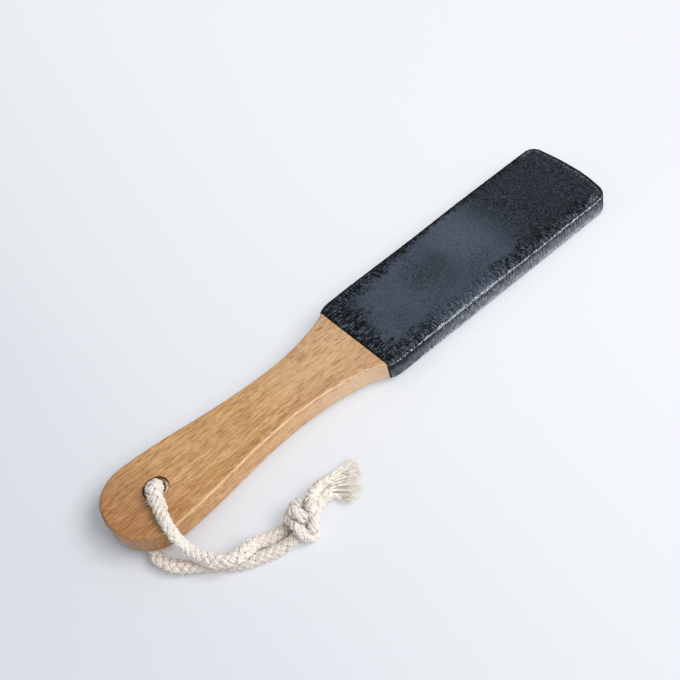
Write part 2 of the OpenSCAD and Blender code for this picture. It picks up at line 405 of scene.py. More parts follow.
def strayHairs(line, count, seed):
    # Short fibres that stand off the surface of a strand
    dice = np.random.default_rng(seed)
    heading, side, up = carriedFrames(line)
    t = np.linspace(0, 1, 6)[:, None]
    hairs = []
    for at in dice.integers(8, len(line) - 8, count):
        angle = dice.uniform(0, 2 * np.pi)
        out = side[at] * math.cos(angle) + up[at] * math.sin(angle)
        lean = dice.normal(0, 0.7, 3) + heading[at] * dice.normal(0, 1)
        reach = braid["hairReach"] * dice.uniform(0.35, 1)
        bent = reach * (t * out * 0.8 + t**2 * lean * 0.6)
        hair = line[at] + out * braid["hairStart"] + bent
        hair[:, 2] = np.clip(hair[:, 2], 2 * braid["hairRadius"], braid["hairTop"])
        hairs.append(hair)
    return hairs


def tubes(name, groups):
    # One mesh of round tubes. A group is its lines, their radius and their material, and a
    # radius is one number or one for each point.
    curve = bpy.data.curves.new(name, "CURVE")
    curve.dimensions, curve.bevel_depth = "3D", 1.0
    curve.bevel_resolution, curve.use_fill_caps = 1, True
    for number, (lines, radius, material) in enumerate(groups):
        curve.materials.append(material)
        for line in lines:
            spline = curve.splines.new("POLY")
            spline.points.add(len(line) - 1)
            spline.points.foreach_set("co", np.c_[line, np.ones(len(line))].ravel())
            spline.points.foreach_set("radius", np.broadcast_to(radius, len(line)).copy())
            spline.material_index = number
    shaper = addObject(name, curve)
    bpy.context.view_layer.update()
    mesh = bpy.data.meshes.new_from_object(shaper)
    bpy.data.objects.remove(shaper)
    bpy.data.curves.remove(curve)
    mesh.name = name
    mesh.shade_smooth()
    return addObject(name, mesh)


# The yarn, its shaded and its stained patches, how stained they are, and painted shade in creases
cottons = {
    "cottonBraid": ((246, 241, 233), (232, 223, 212), (212, 195, 181), 0.4, (128, 110, 98)),
    # The core's dark colours paint the shade seen in the gaps between the yarns
    "shadedCore": ((160, 140, 124), (128, 110, 96), (116, 98, 86), 0.4, (60, 50, 44)),
    "looseCotton": ((255, 252, 245), (250, 242, 231), (190, 170, 132), 0.7, (176, 156, 118)),
}


def cottonMaterial(name):
    colour, shade, stain, stainShare, creaseShade = cottons[name]
    colour, shade, stain, creaseShade = (srgb(*c) for c in (colour, shade, stain, creaseShade))
    recipe = Recipe(name)
    place = recipe.place()
    patch = recipe.cloud(place, 0.35)
    fibre = recipe.cloud(place, 3.2, 3, 0.7)
    recipe.tone = recipe.blend(patch.ramp(0.35, 0.7), colour, shade)
    xyz = recipe.axes(place)
    high = xyz.pick("Z")
    # Stained patches, more of them higher up. Among the loose fibres they also paint the shade
    # inside the tuft.
    stainAndShade = recipe.cloud(place, 0.62).ramp(0.5, 0.7) * (0.3 + high.ramp(1, 4) * 0.7)
    recipe.lay(stainAndShade * stainShare, stain)
    recipe.lay(fibre.ramp(0.45, 0.75) * 0.3, shade)
    # Painted shade low down on the cord, short of the knot
    lowShade = high.fall(3, 9) * xyz.fall(-74, -64)  # low down, short of the knot
    recipe.lay(lowShade * (0.15 + fibre.ramp(0.45, 0.6) * 0.4), stain)
    # Painted shade in the creases between passes of the cord
    crease = recipe.node("Attribute", {"attribute_name": "crease"}, {}, "Fac")
    recipe.lay(crease * (0.4 + fibre.ramp(0.4, 0.6) * 0.4), creaseShade)
    return recipe.finish(
        Base_Color=recipe.tone,
        Roughness=0.9,
        Specular_IOR_Level=0.2,
        Sheen_Weight=0.25,
        Sheen_Roughness=0.5,
        Normal=recipe.bump(fibre, 0.4, 0.0002),
    )


cotton, shadedCore, looseCotton = [cottonMaterial(name) for name in cottons]

settled = settleKnot([
    smoothLine([*leg[-2:], *knot], 1000 * knotting["pointStep"]) / 1000
    for leg, knot in ((upperRoute, farKnot), (lowerRoute, nearKnot))
])

# Each strand from the hole to its end: its smooth line, its yarns, the radius of its core, and
# where its leg ends and its frayed end begins
strandParts = []
for leg, knotLine, sizes in zip((upperRoute, lowerRoute), settled, (upperSizes, lowerSizes)):
    legLine = smoothLine(np.array(leg) / 1000, braid["step"])
    knotLine = evenLine(knotLine, braid["step"])
    start = np.argmin(norms(knotLine - legLine[-1])) + 2
    whole = smoothLine(np.vstack([legLine[:-1:4], knotLine[start::4]]), braid["step"])
    split = np.argmin(norms(whole - legLine[-1]))
    tail = len(whole) - round(braid["tailLength"] / braid["step"])
    places, width, height = np.array(sizes).T / 1000
    along = lengthsAlong(whole)
    width, height = np.interp(along, places, width), np.interp(along, places, height)
    yarns = braidYarns(whole, width, height, len(strandParts) + 5)
    core = (width + height) / 4 - braid["coreInset"]
    strandParts.append((whole, yarns, core, split, tail))


# A crease starts at this distance from another pass of the cord and is full at depth nearer.
# The cord within ownStretch of a point, along it, is the point's own pass.
creases = {
    "reach": 0.0035,
    "depth": 0.0013,
    "sharpness": 1.7,
    "ownStretch": 0.009,
    "fadeFrom": -0.067,
    "fadeRun": 0.007,
    "fade": 0.6,
}


def markCreases(piece):
    # How deep each point lies between two passes of the cord, for the piece's material: from
    # its distance to the nearest stretch of cord other than its own
    lines = [part[0][::3] for part in strandParts]
    line = np.vstack(lines).astype("f4")
    index = np.concatenate([3 * np.arange(len(x)) for x in lines])
    index[len(lines[0]) :] += 10000  # so that the other strand is never its own pass
    spots = np.empty(3 * len(piece.data.vertices), "f4")
    piece.data.vertices.foreach_get("co", spots)
    deep = []
    for some in np.array_split(spots.reshape(-1, 3), 1 + len(spots) // 30000):
        far = norms(some[:, None] - line[None])
        own = index[far.argmin(1)]
        far[abs(index[None] - own[:, None]) * braid["step"] < creases["ownStretch"]] = 1
        fade = np.clip((some[:, 0] - creases["fadeFrom"]) / creases["fadeRun"], 0, 1)
        near = np.clip((creases["reach"] - far.min(1)) / creases["depth"], 0, 1)
        deep.append(near ** creases["sharpness"] * (1 - creases["fade"] * fade))
    mark = piece.data.attributes.new("crease", "FLOAT", "POINT")
    mark.data.foreach_set("value", np.concatenate(deep))


def cordPiece(name, parts, hairs, extra=()):
    # Tubes for the given stretches of the strands, with a core inside the braid in painted shade
    braided = [y[a:b] for _, yarns, _, a, b in parts for y in yarns]
    groups = [(braided, braid["yarnRadius"], cotton)]
    for line, _, core, a, b in parts:
        groups.append(([line[a:b]], core[a:b], shadedCore))
        groups.append((strayHairs(line[a:b], hairs, a + b), braid["hairRadius"], looseCotton))
    piece = tubes(name, [*groups, *extra])
    markCreases(piece)
    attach(piece, "root")
    return piece


# The ends come apart into yarns, and each yarn into fibres that gather in a few wisps. A fan
# is where the tips lie on the table, in millimetres, from one side to the other.
fray = {
    "yarnShare": 0.5,
    "fibresInYarn": 26,
    "fibreRadius": 0.00007,
    "fibreSpread": 0.0015,
    "fibreReach": (0.7, 1.1),
    "wisps": (0.06, 0.42, 0.9),
    "gathered": 0.35,
    "wave": 0.0003,
    "tipReach": (0.78, 1.0),
    "tipHeight": (0.6, 3.2),
    "tipRadius": 0.00012,
    "lowest": 0.0002,
    "farFan": [(-34.9, -36.7), (-33.9, -39.4), (-34.4, -41.8), (-36.6, -44.4)],
    "nearFan": [(-37.8, -44.6), (-39.8, -47.9), (-43.4, -50.6), (-48, -51)],
}


def frayedLines(yarns, fan, seed):
    # The loose yarns and fibres past the braid. Each yarn bends towards its place in the fan.
    dice = np.random.default_rng(seed)
    fan = np.array(fan) / 1000
    ends = np.array([y[-1] for y in yarns])
    headings = unit(np.array([y[-1] - y[-4] for y in yarns]))
    rank = np.argsort(np.argsort(ends[:, :2] @ (fan[-1] - fan[0])))
    t = np.linspace(0, 1, 18)[:, None]
    stub = round(len(t) * fray["yarnShare"])
    thick, thin = [], []
    for end, heading, place in zip(ends, headings, rank / (len(yarns) - 1)):
        wisp = min(fray["wisps"], key=lambda w: abs(w - place))
        place = (1 - fray["gathered"]) * place + fray["gathered"] * wisp
        place = np.clip(place, 0, 1) * (len(fan) - 1)
        tip = pointsAt(place, range(len(fan)), fan)
        tip = ends.mean(0)[:2] + (tip - ends.mean(0)[:2]) * dice.uniform(*fray["tipReach"])
        tip = np.r_[tip, dice.uniform(*fray["tipHeight"]) / 1000]
        span = np.linalg.norm(tip - end)
        along = (heading + (tip - end) / span) / 2
        second, third = end + along * span * 0.35, tip - (tip - end) * 0.3 + (0, 0, 0.0004)
        line = (
            (1 - t) ** 3 * end + 3 * t * (1 - t) ** 2 * second
            + 3 * t**2 * (1 - t) * third + t**3 * tip
        )
        thick.append(line[:stub])
        for _ in range(fray["fibresInYarn"]):
            grow = t * dice.uniform(*fray["fibreReach"])
            stray = dice.normal(0, fray["fibreSpread"] / 2, 3) * (0.15 + grow**1.6)
            stray = stray * (1, 1, 0.7)
            swing = np.sin(t * dice.uniform(4, 9) + dice.uniform(0, 6)) * grow
            held = np.minimum(grow, 1)
            path = pointsAt(held[:, 0], t[:, 0], line)
            path += (grow - held) * (tip - line[-3]) * len(t) / 2
            thin.append(path + stray + fray["wave"] * swing * dice.normal(0, 1, 3))
    for line in thick + thin:
        line[:, 2] = np.maximum(line[:, 2], fray["lowest"])
    taper = np.linspace(braid["yarnRadius"], fray["tipRadius"], stub)
    thinner = np.linspace(1.15, 0.6, len(t)) * fray["fibreRadius"]
    return [(thick, taper, looseCotton), (thin, thinner, looseCotton)]


inKnot = [(*strand, split, tail + 1) for *strand, split, tail in strandParts]
knot = cordPiece("overhandKnot", inKnot, braid["hairsOnKnot"])
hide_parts("cord_knot")

tails = []
names = (("frayedEndFar", "frayed_end_far"), ("frayedEndNear", "frayed_end_near"))
for (whole, yarns, core, _, tail), (name, node), fan in zip(
    strandParts, names, (fray["farFan"], fray["nearFan"])
):
    end = [(whole, yarns, core, tail, len(whole))]
    loose = frayedLines([y[:-1] for y in yarns], fan, len(name))
    piece = cordPiece(name, end, braid["hairsOnTail"], loose)
    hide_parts(node)
    tails.append(piece)
    print(name, len(piece.data.polygons), "faces")

names = (("cordUpperLeg", "cord_upper_leg"), ("cordLowerLeg", "cord_lower_leg"))
for (*strand, split, _), (name, node), tail in zip(strandParts, names, tails):
    leg = strand[0][: split + 1]
    piece = cordPiece(name, [(*strand, 0, split + 1)], braid["hairsOnLeg"])
    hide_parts(node)

# Sizes in millimetres, x from where the bare wood ends, as in the part's source but for a
# longer shoulder. It rests on its tip and on the cord, so it leans a little.
board = {
    "handleLength": 114,
    "buttWidth": 36.6,
    "buttEnd": 17,
    "waistWidth": 25.7,
    "waistToBlade": 38,
    "neckWidth": 32.8,
    "neckToBlade": 8,
    "headWidth": 40,
    "thickness": 9.5,
    "edgeRadius": 1.6,
    "bladeLength": 122,
    "bladeWidth": 45,
    "cornerRadius": 5.5,
    "tipBow": 0.8,
    "shoulder": 8.5,
    "coat": 0.6,
    "holeToButt": 21.5,
    "holeWidth": 7,
    "recessWidth": 10.2,
    "recessDepth": 0.7,
    "holeBevel": 0.14,
    "lean": 1.16003,
    "start": (-4.00525, 0, 7.77471),
}
# How the hand-finished board strays from those sizes. bladeTrim is a share of the width.
uneven = {"bladeTrim": 0.02, "tipSlant": 2.0, "buttFull": 0.6, "leftTrim": 0.55, "coatStart": 1.0}
wood = {
    "light": srgb(230, 184, 126),
    "dark": srgb(201, 150, 92),
    "grain": srgb(178, 125, 72),
    "honey": srgb(211, 152, 90),
    "head": srgb(214, 172, 136),
    "butt": srgb(166, 104, 55),
    "ray": srgb(238, 200, 150),
    "fleck": srgb(108, 66, 34),
    "endGrainAndShade": srgb(116, 73, 44),
    "paintedSideLight": srgb(220, 183, 142),
    "paintedHeadSideLight": srgb(232, 204, 174),
    "paintedHighlight": srgb(248, 222, 180),
    "paintedShade": srgb(78, 45, 25),
}
holeX = board["holeToButt"] - board["handleLength"]
boardTurn = Matrix.Rotation(math.radians(board["lean"]), 4, "Y")
boardPlace = (
    Matrix.Translation(Vector(board["start"]) / 1000) @ boardTurn @ Matrix.Scale(0.001, 4)
)
level = (0, math.radians(-board["lean"]), 0)  # turns the patterns to the leaning board


def stretch(a, b, steps):
    # A smooth stretch of the side, between places given as (x, half width, slope)
    t = np.linspace(0, 1, steps + 1)[1:]
    run, share = b[0] - a[0], t * t * (3 - 2 * t)
    rise = run * (a[2] * t * (1 - t) ** 2 - b[2] * t * t * (1 - t))
    return np.stack([a[0] + run * t, a[1] * (1 - share) + b[1] * share + rise], 1)


def sideOutline():
    # One side of the wood from the middle of the butt to the middle of the tip
    half = board["bladeWidth"] / 2 - board["coat"]
    end = board["bladeLength"] - board["coat"]
    corner = board["cornerRadius"] - board["coat"]
    a = np.linspace(0, np.pi / 2, 25)
    x = board["buttEnd"] * (1 - np.cos(a)) - board["handleLength"]
    butt = np.stack([x, board["buttWidth"] / 2 * np.sin(a)], 1)
    places = [
        (board["buttEnd"] - board["handleLength"], board["buttWidth"] / 2, 0),
        (-board["waistToBlade"], board["waistWidth"] / 2, 0),
        (-board["neckToBlade"], board["neckWidth"] / 2, 0.27),
        (0, board["headWidth"] / 2, 0.75),
        (board["shoulder"], half, 0),
    ]
    counts = (24, 16, 8, 10)
    parts = [stretch(*pair, n) for *pair, n in zip(places, places[1:], counts)]
    headIndex = len(butt) + sum(counts[:3]) - 1  # where the bare wood ends
    centre = (end - board["tipBow"] - corner, half - corner)
    a = np.linspace(np.pi / 2, 0, 13)
    arc = np.stack([centre[0] + corner * np.cos(a), centre[1] + corner * np.sin(a)], 1)
    t = np.linspace(1, 0, 9)[1:]
    tip = np.stack([end - board["tipBow"] * t * t, centre[1] * t], 1)
    straight = np.linspace(parts[-1][-1], arc[0], 5)[1:-1]
    return np.vstack([butt, *parts, straight, arc, tip]), headIndex


side, headIndex = sideOutline()


def ease(x, low, high):
    t = np.clip((x - low) / (high - low), 0, 1)
    return t * t * (3 - 2 * t)


def settle(piece, coatStart=0):
    # Moves a piece from board millimetres to where the file rests, uneven as by hand: its tip
    # is shorter on the right, its butt fuller and its head slimmer on the left, and its coat
    # starts later on the right
    verts = piece.data.vertices
    spots = np.empty(3 * len(verts))
    verts.foreach_get("co", spots)
    x, y = spots[::3].copy(), spots[1::3].copy()
    buttEnd, tipEnd = -board["handleLength"], board["bladeLength"]
    full = uneven["buttFull"] * (1 - ease(x, buttEnd, -92)) * ease(y, 2, 12)
    rightness = np.clip(-2 * y / board["bladeWidth"], 0, 1)
    slant = uneven["tipSlant"] * ease(x, tipEnd - 22, tipEnd) * rightness**2
    slim = ease(x, -45, -25) * (1 - ease(x, 45, 80))
    slim = slim + 0.5 * ease(x, -4, 0) * (1 - ease(x, 6, 18))
    later = coatStart * (0.3 + 0.7 * ease(-y, -18, 18)) * (1 - ease(x, 0, 12))
    spots[::3] = x - full - slant + later
    spots[1::3] = y * (1 - uneven["bladeTrim"] * ease(x, -6, 6)) + full
    spots[1::3] -= uneven["leftTrim"] * slim * ease(y, 2, 14)
    verts.foreach_set("co", spots)
    piece.data.transform(boardPlace)
    verts.foreach_get("co", spots)
    spots[2::3] = np.maximum(spots[2::3], 0.00001)  # never under the table
    verts.foreach_set("co", spots)
    return piece


def makePaddle():
    # The outline raised to its thickness, its long edges rounded and its hole drilled
    half, radius = board["thickness"] / 2, board["edgeRadius"]
    bm = bmesh.new()
    right = [bm.verts.new((x, -y, -half)) for x, y in side]
    left = [bm.verts.new((x, y, -half)) for x, y in side[-2:0:-1]]
    face = bm.faces.new(right + left)
    top = bmesh.ops.extrude_face_region(bm, geom=[face])["geom"]
    lifted = [v for v in top if isinstance(v, bmesh.types.BMVert)]
    bmesh.ops.translate(bm, verts=lifted, vec=(0, 0, 2 * half))
    bmesh.ops.recalc_face_normals(bm, faces=bm.faces)
    rims = [e for e in bm.edges if abs(e.verts[0].co.z - e.verts[1].co.z) < 0.01]
    bmesh.ops.bevel(
        bm, geom=rims, offset=radius, segments=5, profile=0.5, affect="EDGES", material=-1
    )
    paddle = addMesh("beechPaddle", bm)

    bm = bmesh.new()
    for width, low, high in (
        (board["holeWidth"], -2 * half, 2 * half),
        (board["recessWidth"], half - board["recessDepth"], 2 * half),
        (board["recessWidth"], -2 * half, board["recessDepth"] - half),
    ):
        spot = Matrix.Translation((holeX, 0, (low + high) / 2))
        bmesh.ops.create_cone(
            bm, cap_ends=True, segments=72, radius1=width / 2, radius2=width / 2,
            depth=high - low, matrix=spot,
        )
    drill = addMesh("drill", bm)
    cut = paddle.modifiers.new("hole", "BOOLEAN")
    cut.object, cut.operation, cut.solver = drill, "DIFFERENCE", "EXACT"
    cut.use_self = True
    bpy.context.view_layer.update()
    graph = bpy.context.evaluated_depsgraph_get()
    drilled = bpy.data.meshes.new_from_object(paddle.evaluated_get(graph))
    paddle.modifiers.clear()
    paddle.data = drilled
    bpy.data.objects.remove(drill)

    bm = bmesh.new()
    bm.from_mesh(paddle.data)
    bmesh.ops.remove_doubles(bm, verts=bm.verts, dist=0.001)

    # The rims of the hole and its recesses are then broken a little
    def onRing(vert, width):
        return abs(math.hypot(vert.co.x - holeX, vert.co.y) - width / 2) < 0.02

    rims = [
        e
        for e in bm.edges
        for width in (board["holeWidth"], board["recessWidth"])
        if all(onRing(v, width) for v in e.verts)
        and abs(e.verts[0].co.z - e.verts[1].co.z) < 0.01
        and abs(e.verts[0].co.z) > half - (0.02 if width > 9 else 0.9)
        and len(e.link_faces) == 2
        and e.calc_face_angle() > 1
    ]
    bmesh.ops.bevel(
        bm, geom=rims, offset=board["holeBevel"], segments=2, profile=0.5, affect="EDGES",
        material=-1,
    )
    bm.to_mesh(paddle.data)
    bm.free()
    return paddle


def beechMaterial():
    recipe = Recipe("lacqueredBeech", wood)
    xyz = recipe.axes(recipe.place(turn=level))
    hole = boardPlace @ Vector((holeX, 0, 0)) * 1000
    hole = Matrix.Rotation(level[1], 4, "Y") @ hole
    across = xyz.pick("Y")
    high = xyz.pick("Z") - hole.z  # from the middle of the board's thickness

    wobble = recipe.cloud(recipe.place(), 0.5).pick("Color")

    def dashes(size, start, share, width):
        # Thin dark pores along the grain, one in some of the cells
        place = recipe.place(size, level, start)
        bent = recipe.node("VectorMath", {"operation": "ADD"}, {0: place, 1: wobble})
        cells = recipe.node("TexVoronoi", {}, {"Vector": bent, "Scale": 1.0})
        chance = recipe.axes(cells.pick("Color"))
        size = width * (0.5 + chance.pick("Y") * 0.6)
        return cells.fall(size * 0.5, size) * chance.ramp(1 - share, 1.25 - share)

    def streaks(lengthwise, crosswise, *detail, start=(0, 0, 0)):
        # Noise drawn out along the grain
        size = (lengthwise, crosswise, crosswise)
        return recipe.cloud(recipe.place(size, level, start), 1.0, *detail)

    # Bands of growth along the board, redder and darker at the butt, and its silky streaks
    band = streaks(0.006, 0.16, 3, 0.55, 0.5)
    fine = streaks(0.05, 1.3, 4, 0.65)
    recipe.tone = recipe.blend(band.ramp(0.32, 0.68), "dark", "light")
    recipe.lay(fine.ramp(0.42, 0.64) * 0.6, "grain")
    broad = streaks(0.02, 0.05)
    recipe.lay(broad.ramp(0.4, 0.7) * 0.45, "honey")
    recipe.lay(xyz.ramp(-58, -8) * 0.65, "head")
    recipe.lay(xyz.fall(-118, -80) * 0.7, "butt")
    gloss = streaks(0.3, 2.4, start=(31, 9, 4)).ramp(0.5, 0.66)
    recipe.lay(gloss * (0.12 + xyz.ramp(-105, -70) * 0.3), "ray")

    # Pores, short and long, and a finer mottle. The butt has more streaks.
    flecks = dashes((0.14, 1.9, 1.9), (0, 0, 0), 0.68, 0.42)
    flecks = flecks.calc("MAXIMUM", dashes((0.22, 2.6, 2.6), (7, 3, 1), 0.6, 0.42) * 0.75)
    flecks = flecks.calc("MAXIMUM", dashes((0.06, 1.4, 1.4), (2, 5, 3), 0.35, 0.3))
    speckle = streaks(0.2, 1.9, 2, 0.7, start=(5, 1, 8))
    recipe.lay(speckle.ramp(0.5, 0.64) * 0.68, "grain")
    pale = speckle.fall(0.36, 0.48) * xyz.ramp(-104, -90) * 0.45
    pale = pale + xyz.ramp(-50, -38) * across.ramp(-8, 0) * across.fall(6, 12) * 0.25
    recipe.lay(pale, "ray")
    recipe.lay(flecks * 0.66, "fleck")
    streak = streaks(0.15, 1.6, 3, 0.65, start=(3, 8, 2))
    atButt = xyz.fall(-100, -82)
    recipe.lay(streak.ramp(0.53, 0.63) * atButt * 0.3, "ray")
    recipe.lay(streak.fall(0.36, 0.46) * atButt * 0.4, "fleck")

    # Side faces: paler towards the head in painted light, and end grain at the butt
    away = high.calc("ABSOLUTE")
    wall = away.fall(2.9, 4.3)
    # End grain at the butt, darker on its left as painted shade
    endGrainAndShade = wall * xyz.fall(-116, -99) * (0.1 + across.ramp(-6, 2) * 0.85)
    recipe.lay(endGrainAndShade, "endGrainAndShade")
    recipe.lay(wall * xyz.ramp(-95, -10) * 0.4, "paintedSideLight")
    recipe.lay(wall * xyz.ramp(-44, -10) * 0.45, "paintedHeadSideLight")

    # Painted highlight on the upper right edge and painted reflection on the butt's lower rim,
    # in lines that come and go. Painted shade on the upper left edge and the foot of the butt.
    lineWobble = (fine - 0.5) * 0.6
    butt, left, upper = xyz.fall(-104, -90), across.ramp(-3, 3), high.ramp(-1, 1)
    paintedHighlight = (away + lineWobble).ramp(3.94, 4.08) * (away + lineWobble).fall(4.16, 4.32)
    paintedHighlight = paintedHighlight * upper * (1 - left) * (1 - butt) * (0.5 + fine.ramp(0.4, 0.56) * 0.5)
    rim = (1 - upper) * butt
    lower = (away + lineWobble * 0.4).ramp(1.5, 1.8) * away.fall(2.25, 2.45) * rim
    paintedHighlight = paintedHighlight + lower * across.ramp(-12, -4) * (0.4 + fine.ramp(0.42, 0.58) * 0.5)
    recipe.lay(paintedHighlight * (0.5 + broad.ramp(0.3, 0.7) * 0.5), "paintedHighlight")
    dark = upper * left * away.ramp(2.8, 3.3) * away.fall(4.2, 4.5) * 0.8
    dark = dark + rim * away.ramp(2.2, 2.7) * across.ramp(-14, -8) * 0.8
    recipe.lay(dark, "paintedShade")

    # The walls of the hole and its recess are darkened in painted shade
    run = xyz - hole.x
    far = (run * run + across * across) ** 0.5
    paintedShade = far.fall(5.25, 5.4) * high.fall(4.66, 4.75)
    ledge = far.fall(4.7, 4.85) * far.ramp(3.5, 3.7)
    recipe.lay(paintedShade * (1 - ledge) * 0.88, "paintedShade")
    height = fine * 0.25 - flecks
    return recipe.finish(
        Base_Color=recipe.tone,
        Roughness=0.38 + fine * 0.12 + endGrainAndShade * 0.3,
        Specular_IOR_Level=0.5,
        Coat_Weight=0.3,
        Coat_Roughness=0.2,
        Normal=recipe.bump(height, 0.3, 0.00012),
    )


paddle = dress(settle(makePaddle()), beechMaterial())
smoother = paddle.modifiers.new("weightedNormals", "WEIGHTED_NORMAL")
smoother.keep_sharp = True
paddle.data.set_sharp_from_angle(angle=math.radians(50))
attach(paddle, "root")
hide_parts("beech_paddle")
print("paddle made:", len(paddle.data.polygons), "faces")

# The grit's mesh has cells of this size, in millimetres. The sheets lap under the border.
grit = {
    "cell": 0.36,
    "border": 3.0,
    "lap": 0.5,
    "sink": 0.02,
    "skin": 0.3,
    "clumpReach": 5.5,
    "clumpFade": 3.5,
    "seed": 7,
    "fine": srgb(70, 82, 95),
    "fineDim": srgb(54, 61, 71),
    "far": srgb(24, 27, 32),
    "black": srgb(6, 8, 11),
    "tick": srgb(92, 102, 115),
    "tickPale": srgb(112, 123, 138),
    "speck": srgb(150, 160, 172),
    "wallTop": srgb(30, 33, 40),
    "wall": srgb(100, 106, 115),
    "paintedTableReflection": srgb(178, 185, 194),
    "glintGrey": srgb(104, 111, 120),
    "glintWhite": srgb(222, 226, 232),
    "spotAt": (41, -1),
    "spotRadii": (15, 11),
}


def offsetSide(out):
    # The blade's side moved outwards, square to itself, and along Y where the wood begins
    points = side[headIndex:]
    points = np.vstack([points, points[-2] * (1, -1)])
    run = unit(np.diff(points, axis=0))
    square = np.stack([-run[:, 1], run[:, 0]], 1)
    mean = unit(np.vstack([square[:1], square[:-1] + square[1:]]))
    bend = np.r_[1, (mean[1:] * square[:-1]).sum(1)]
    moved = points[:-1] + out * mean / bend[:, None]
    moved[0] = points[0] + (0, out / square[0][1])
    return moved


def roughness(point, depth):
    # How far the grit stands out, in millimetres. It is clumped near the edges.
    rim = max(0.0, min(1.0, (grit["clumpReach"] - depth) / grit["clumpFade"]))
    clump = noise.noise(point * 0.9) * 0.10 + noise.noise(point * 2.1) * 0.09
    grain = noise.noise(point * 5.0) * 0.05
    return rim * clump + (0.3 + 0.9 * rim) * grain


def gritPiece(name, columns, rows, place):
    # A fine grid laid over the surface. place(u, v) gives a point, its outward direction, its
    # distance in from the edge, its place along the edge, and its turn: 0 on the upper face,
    # 1 on the side and 2 on the lower face.
    bm = bmesh.new()
    bmesh.ops.create_grid(bm, x_segments=columns, y_segments=rows, size=0.5)
    layers = [bm.verts.layers.float.new(key) for key in ("depth", "track", "turn")]
    for vert in bm.verts:
        point, out, *values = place(vert.co.x + 0.5, vert.co.y + 0.5)
        for layer, value in zip(layers, values):
            vert[layer] = value
        point = Vector(point)
        lift = roughness(point + Vector((grit["seed"], 0, 0)), values[0])
        vert.co = point + Vector(out) * lift
    return addMesh(name, bm)


def makeBand():
    # The border: round the blade from one corner of the wood to the other
    half, coat = board["thickness"] / 2, board["coat"]
    radius, border = board["edgeRadius"] + coat, grit["border"]
    inner, outer = offsetSide(-1.0), offsetSide(1.0)
    middle, normal = (inner + outer) / 2, (outer - inner) / 2
    middle, normal = (np.vstack([x, (x[:-1] * (1, -1))[::-1]]) for x in (middle, normal))
    along = lengthsAlong(middle)
    # The section, from the upper face round the edge to the lower face, and its turns
    a = np.linspace(0, np.pi / 2, 7)
    xs, zs = coat - radius + radius * np.sin(a), half + coat - radius * (1 - np.cos(a))
    top = np.vstack([[(coat - border, half + coat)], np.stack([xs, zs], 1)])
    section = np.vstack([top, (top * (1, -1))[::-1]])
    turns = np.r_[0, a * 2 / np.pi, 2 - (a * 2 / np.pi)[::-1], 2]
    reach = lengthsAlong(section)
    columns, rows = round(along[-1] / grit["cell"]), round(reach[-1] / grit["cell"])

    def place(u, v):
        s, r = u * along[-1], v * reach[-1]
        m, n = pointsAt(s, along, middle), pointsAt(s, along, normal)
        out, z = pointsAt(r, reach, section)
        turn = np.interp(r, reach, turns)
        skin = min(1, min(s, along[-1] - s) / grit["skin"])
        if skin < 1:
            out, z = out - coat * (1 - skin), z * (1 - coat / (half + coat) * (1 - skin))
        flat, rise = math.sin(turn * math.pi / 2), math.cos(turn * math.pi / 2)
        point = (m[0] + n[0] * out, m[1] + n[1] * out, z)
        return point, (n[0] * flat, n[1] * flat, rise), max(0, coat - out), s, turn

    return gritPiece("edgeGrit", columns, rows, place)


def makeSheet(name, way):
    # The grit inside the border, on the upper face where way is 1 and on the lower where -1
    half, coat, inset = board["thickness"] / 2, board["coat"], grit["border"] - grit["lap"]
    inner = offsetSide(coat - inset)
    xs, ys = inner[:, 0], inner[:, 1]
    columns, rows = round(xs[-1] / grit["cell"]), round(2 * ys.max() / grit["cell"])

    def place(u, v):
        x = xs[-1] * (1 - (1 - u) ** 1.04)
        y = np.interp(x, xs, ys) * (2 * v - 1) * way
        skin = min(1, x / grit["skin"])
        z = way * (half + coat * skin - grit["sink"])
        near = [  # the sides, the tip and the wood, each with a stretch of the pattern
            (np.interp(x, xs, ys) - abs(y) + inset, x + (300 if y > 0 else 0)),
            (xs[-1] - x + inset, y + 500),
            (x * 0.75, y + 700),
        ]
        return (x, y, z), (0, 0, way), *min(near), 1 - way

    return gritPiece(name, columns, rows, place)


